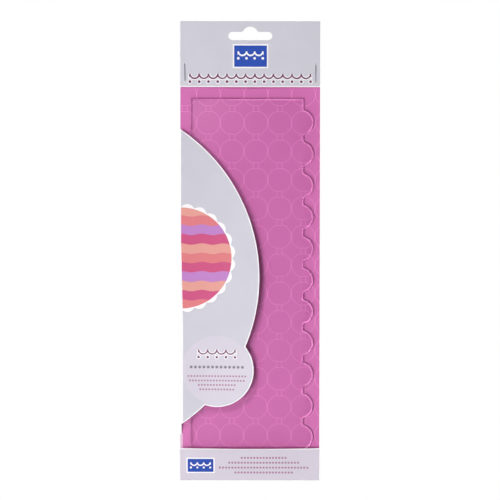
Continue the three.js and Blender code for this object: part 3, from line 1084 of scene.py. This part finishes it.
def make_staple(name, material):
    """A bent wire: crown in front, legs through the card, ends clinched behind it."""
    low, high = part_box(name)
    middle = (low + high) / 2
    wire = STAPLE_WIRE / 2
    path = staple_path(low.y + wire, high.y - wire)
    last = len(path) - 1
    tilt = STAPLE_TILT[name]
    points = []
    for i, (y, z) in enumerate(path):
        before = path[max(i - 1, 0)]
        after = path[min(i + 1, last)]
        length = math.dist(before, after)
        normal = ((after[1] - before[1]) / length, -(after[0] - before[0]) / length)
        taper = STAPLE_POINT if i in (0, last) else 1.0
        for k in range(STAPLE_SIDES):
            turn = 2 * math.pi * k / STAPLE_SIDES
            across = taper * STAPLE_WIDTH / 2 * flattened(math.cos(turn))
            out = taper * wire * flattened(math.sin(turn))
            up = z + normal[1] * out
            points.append(
                (
                    middle.x + across * math.cos(tilt) + up * math.sin(tilt),
                    y + normal[0] * out,
                    middle.z - across * math.sin(tilt) + up * math.cos(tilt),
                )
            )
    faces = tube_faces(len(path), STAPLE_SIDES)
    faces.append(list(range(STAPLE_SIDES)))
    faces.append(list(range(last * STAPLE_SIDES, len(path) * STAPLE_SIDES)))
    piece = new_piece(name + "_wire", points, faces, [material], [0] * len(faces), smooth_angle=50)
    face_outwards(piece)
    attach(piece, "card")
    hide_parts(name)


make_back()
make_header()
make_wall()
make_window()
make_bottom()
make_bottom_fold()
PLATE = make_scraper()
WIRE = make_wire()
for staple in STAPLE_TILT:
    make_staple(staple, WIRE)


# Studio
def make_world():
    """White behind the card, soft light on it, and a room for shiny things to mirror."""
    world = bpy.data.worlds.new("studio")
    bpy.context.scene.world = world
    world.use_nodes = True
    nodes = world.node_tree.nodes
    links = world.node_tree.links

    def background(node, strength):
        node.inputs["Color"].default_value = WHITE
        node.inputs["Strength"].default_value = strength
        return node

    ambient = background(nodes["Background"], AMBIENT)
    white = background(nodes.new("ShaderNodeBackground"), 1.0)
    dim = background(nodes.new("ShaderNodeBackground"), PATCH_STRENGTH)
    place = nodes.new("ShaderNodeTexCoord")
    split = nodes.new("ShaderNodeSeparateXYZ")
    links.new(place.outputs["Generated"], split.inputs[0])
    beyond = nodes.new("ShaderNodeMapRange")
    links.new(split.outputs[1], beyond.inputs["Value"])
    beyond.inputs["From Min"].default_value = PATCH_REACH[0]
    beyond.inputs["From Max"].default_value = PATCH_REACH[1]
    aside = nodes.new("ShaderNodeVectorMath")
    aside.operation = "DISTANCE"
    links.new(place.outputs["Generated"], aside.inputs[0])
    aside.inputs[1].default_value = GLOW_PLACE
    glow = nodes.new("ShaderNodeMapRange")
    glow.interpolation_type = "SMOOTHSTEP"
    links.new(aside.outputs["Value"], glow.inputs["Value"])
    glow.inputs["From Max"].default_value = GLOW_REACH
    glow.inputs["To Min"].default_value = GLOW_STRENGTH
    glow.inputs["To Max"].default_value = 0.0
    bright = nodes.new("ShaderNodeMath")
    bright.operation = "MAXIMUM"
    links.new(beyond.outputs[0], bright.inputs[0])
    links.new(glow.outputs[0], bright.inputs[1])
    room = nodes.new("ShaderNodeMixShader")
    links.new(bright.outputs[0], room.inputs[0])
    links.new(dim.outputs[0], room.inputs[1])
    links.new(white.outputs[0], room.inputs[2])
    kinds = (("Is Glossy Ray", room), ("Is Transmission Ray", room), ("Is Camera Ray", white))
    result = pick_by_ray(nodes, links, ambient, kinds)
    links.new(result, nodes["World Output"].inputs["Surface"])


def make_lamp(name, aim, place, size, power):
    """A flat lamp that isn't seen through the acrylic."""
    lamp = bpy.data.lights.new(name, "AREA")
    lamp.shape = "RECTANGLE"
    lamp.size = size[0]
    lamp.size_y = size[1]
    lamp.energy = power
    holder = bpy.data.objects.new(name, lamp)
    holder.location = place
    holder.rotation_euler = (Vector(aim) - Vector(place)).to_track_quat("-Z", "Y").to_euler()
    holder.visible_transmission = False
    bpy.context.scene.collection.objects.link(holder)
    return holder


def let_through(lamp, plate):
    """Lets a lamp's light pass a plate without a shadow, and keeps the lamp from being mirrored."""
    spared = bpy.data.collections.new("no_shadow_from_" + lamp.name)
    spared.objects.link(plate)
    spared.collection_objects[0].light_linking.link_state = "EXCLUDE"
    lamp.light_linking.blocker_collection = spared
    lamp.visible_glossy = False


def make_floor():
    """A pale floor under the hanging card, fading into the white background."""
    size = FLOOR_HALF
    points = [(-size, -size, 0), (size, -size, 0), (size, size, 0), (-size, size, 0)]
    shader = Shader("floor_white")
    shader.surface.inputs["Base Color"].default_value = FLOOR_GREY
    shader.surface.inputs["Roughness"].default_value = FLOOR_ROUGHNESS
    shader.surface.inputs["Specular IOR Level"].default_value = FLOOR_GLOSS
    glow = shader.nodes.new("ShaderNodeEmission")
    length = shader.nodes.new("ShaderNodeVectorMath")
    length.operation = "LENGTH"
    shader.links.new(shader.place, length.inputs[0])
    fade = shader.nodes.new("ShaderNodeMapRange")
    fade.interpolation_type = "SMOOTHSTEP"
    shader.links.new(length.outputs["Value"], fade.inputs["Value"])
    fade.inputs["From Min"].default_value = FLOOR_FADE[0]
    fade.inputs["From Max"].default_value = FLOOR_FADE[1]
    path = shader.nodes.new("ShaderNodeLightPath")
    looked_at = shader.math("MAXIMUM", path.outputs["Is Camera Ray"], path.outputs["Is Transmission Ray"])
    seen = shader.math("MULTIPLY", fade.outputs[0], looked_at)
    mix = shader.nodes.new("ShaderNodeMixShader")
    shader.links.new(seen, mix.inputs[0])
    shader.links.new(shader.surface.outputs[0], mix.inputs[1])
    shader.links.new(glow.outputs[0], mix.inputs[2])
    shader.links.new(mix.outputs[0], shader.nodes["Material Output"].inputs["Surface"])
    floor = new_piece("floor", points, [[0, 1, 2, 3]], [shader.material], [0])
    floor.location.z = back_low.z - FLOOR_DROP


def make_camera():
    """The photograph's camera: far off, square to the card and looking slightly down."""
    width = PHOTO_PIXELS * MM_PER_PIXEL * MM
    half = PHOTO_PIXELS / 2
    x = (half - ORIGIN_PIXEL[0]) * MM_PER_PIXEL * MM
    z = (ORIGIN_PIXEL[1] - half) * MM_PER_PIXEL * MM
    lens = bpy.data.cameras.new("camera")
    lens.sensor_width = SENSOR
    lens.lens = SENSOR * CAMERA_DISTANCE / width
    camera = bpy.data.objects.new("camera", lens)
    camera.location = (
        x,
        -CAMERA_DISTANCE * math.cos(CAMERA_RISE),
        z + CAMERA_DISTANCE * math.sin(CAMERA_RISE),
    )
    camera.rotation_euler = (math.pi / 2 - CAMERA_RISE, CAMERA_ROLL, 0)
    bpy.context.scene.collection.objects.link(camera)
    bpy.context.scene.camera = camera


middle = (cad_box[0] + cad_box[1]) / 2
make_world()
lamps = {name: make_lamp(name, middle, **lamp) for name, lamp in LAMPS.items()}
let_through(lamps["top"], PLATE)
make_floor()
make_camera()
bpy.context.scene.view_settings.view_transform = "Standard"
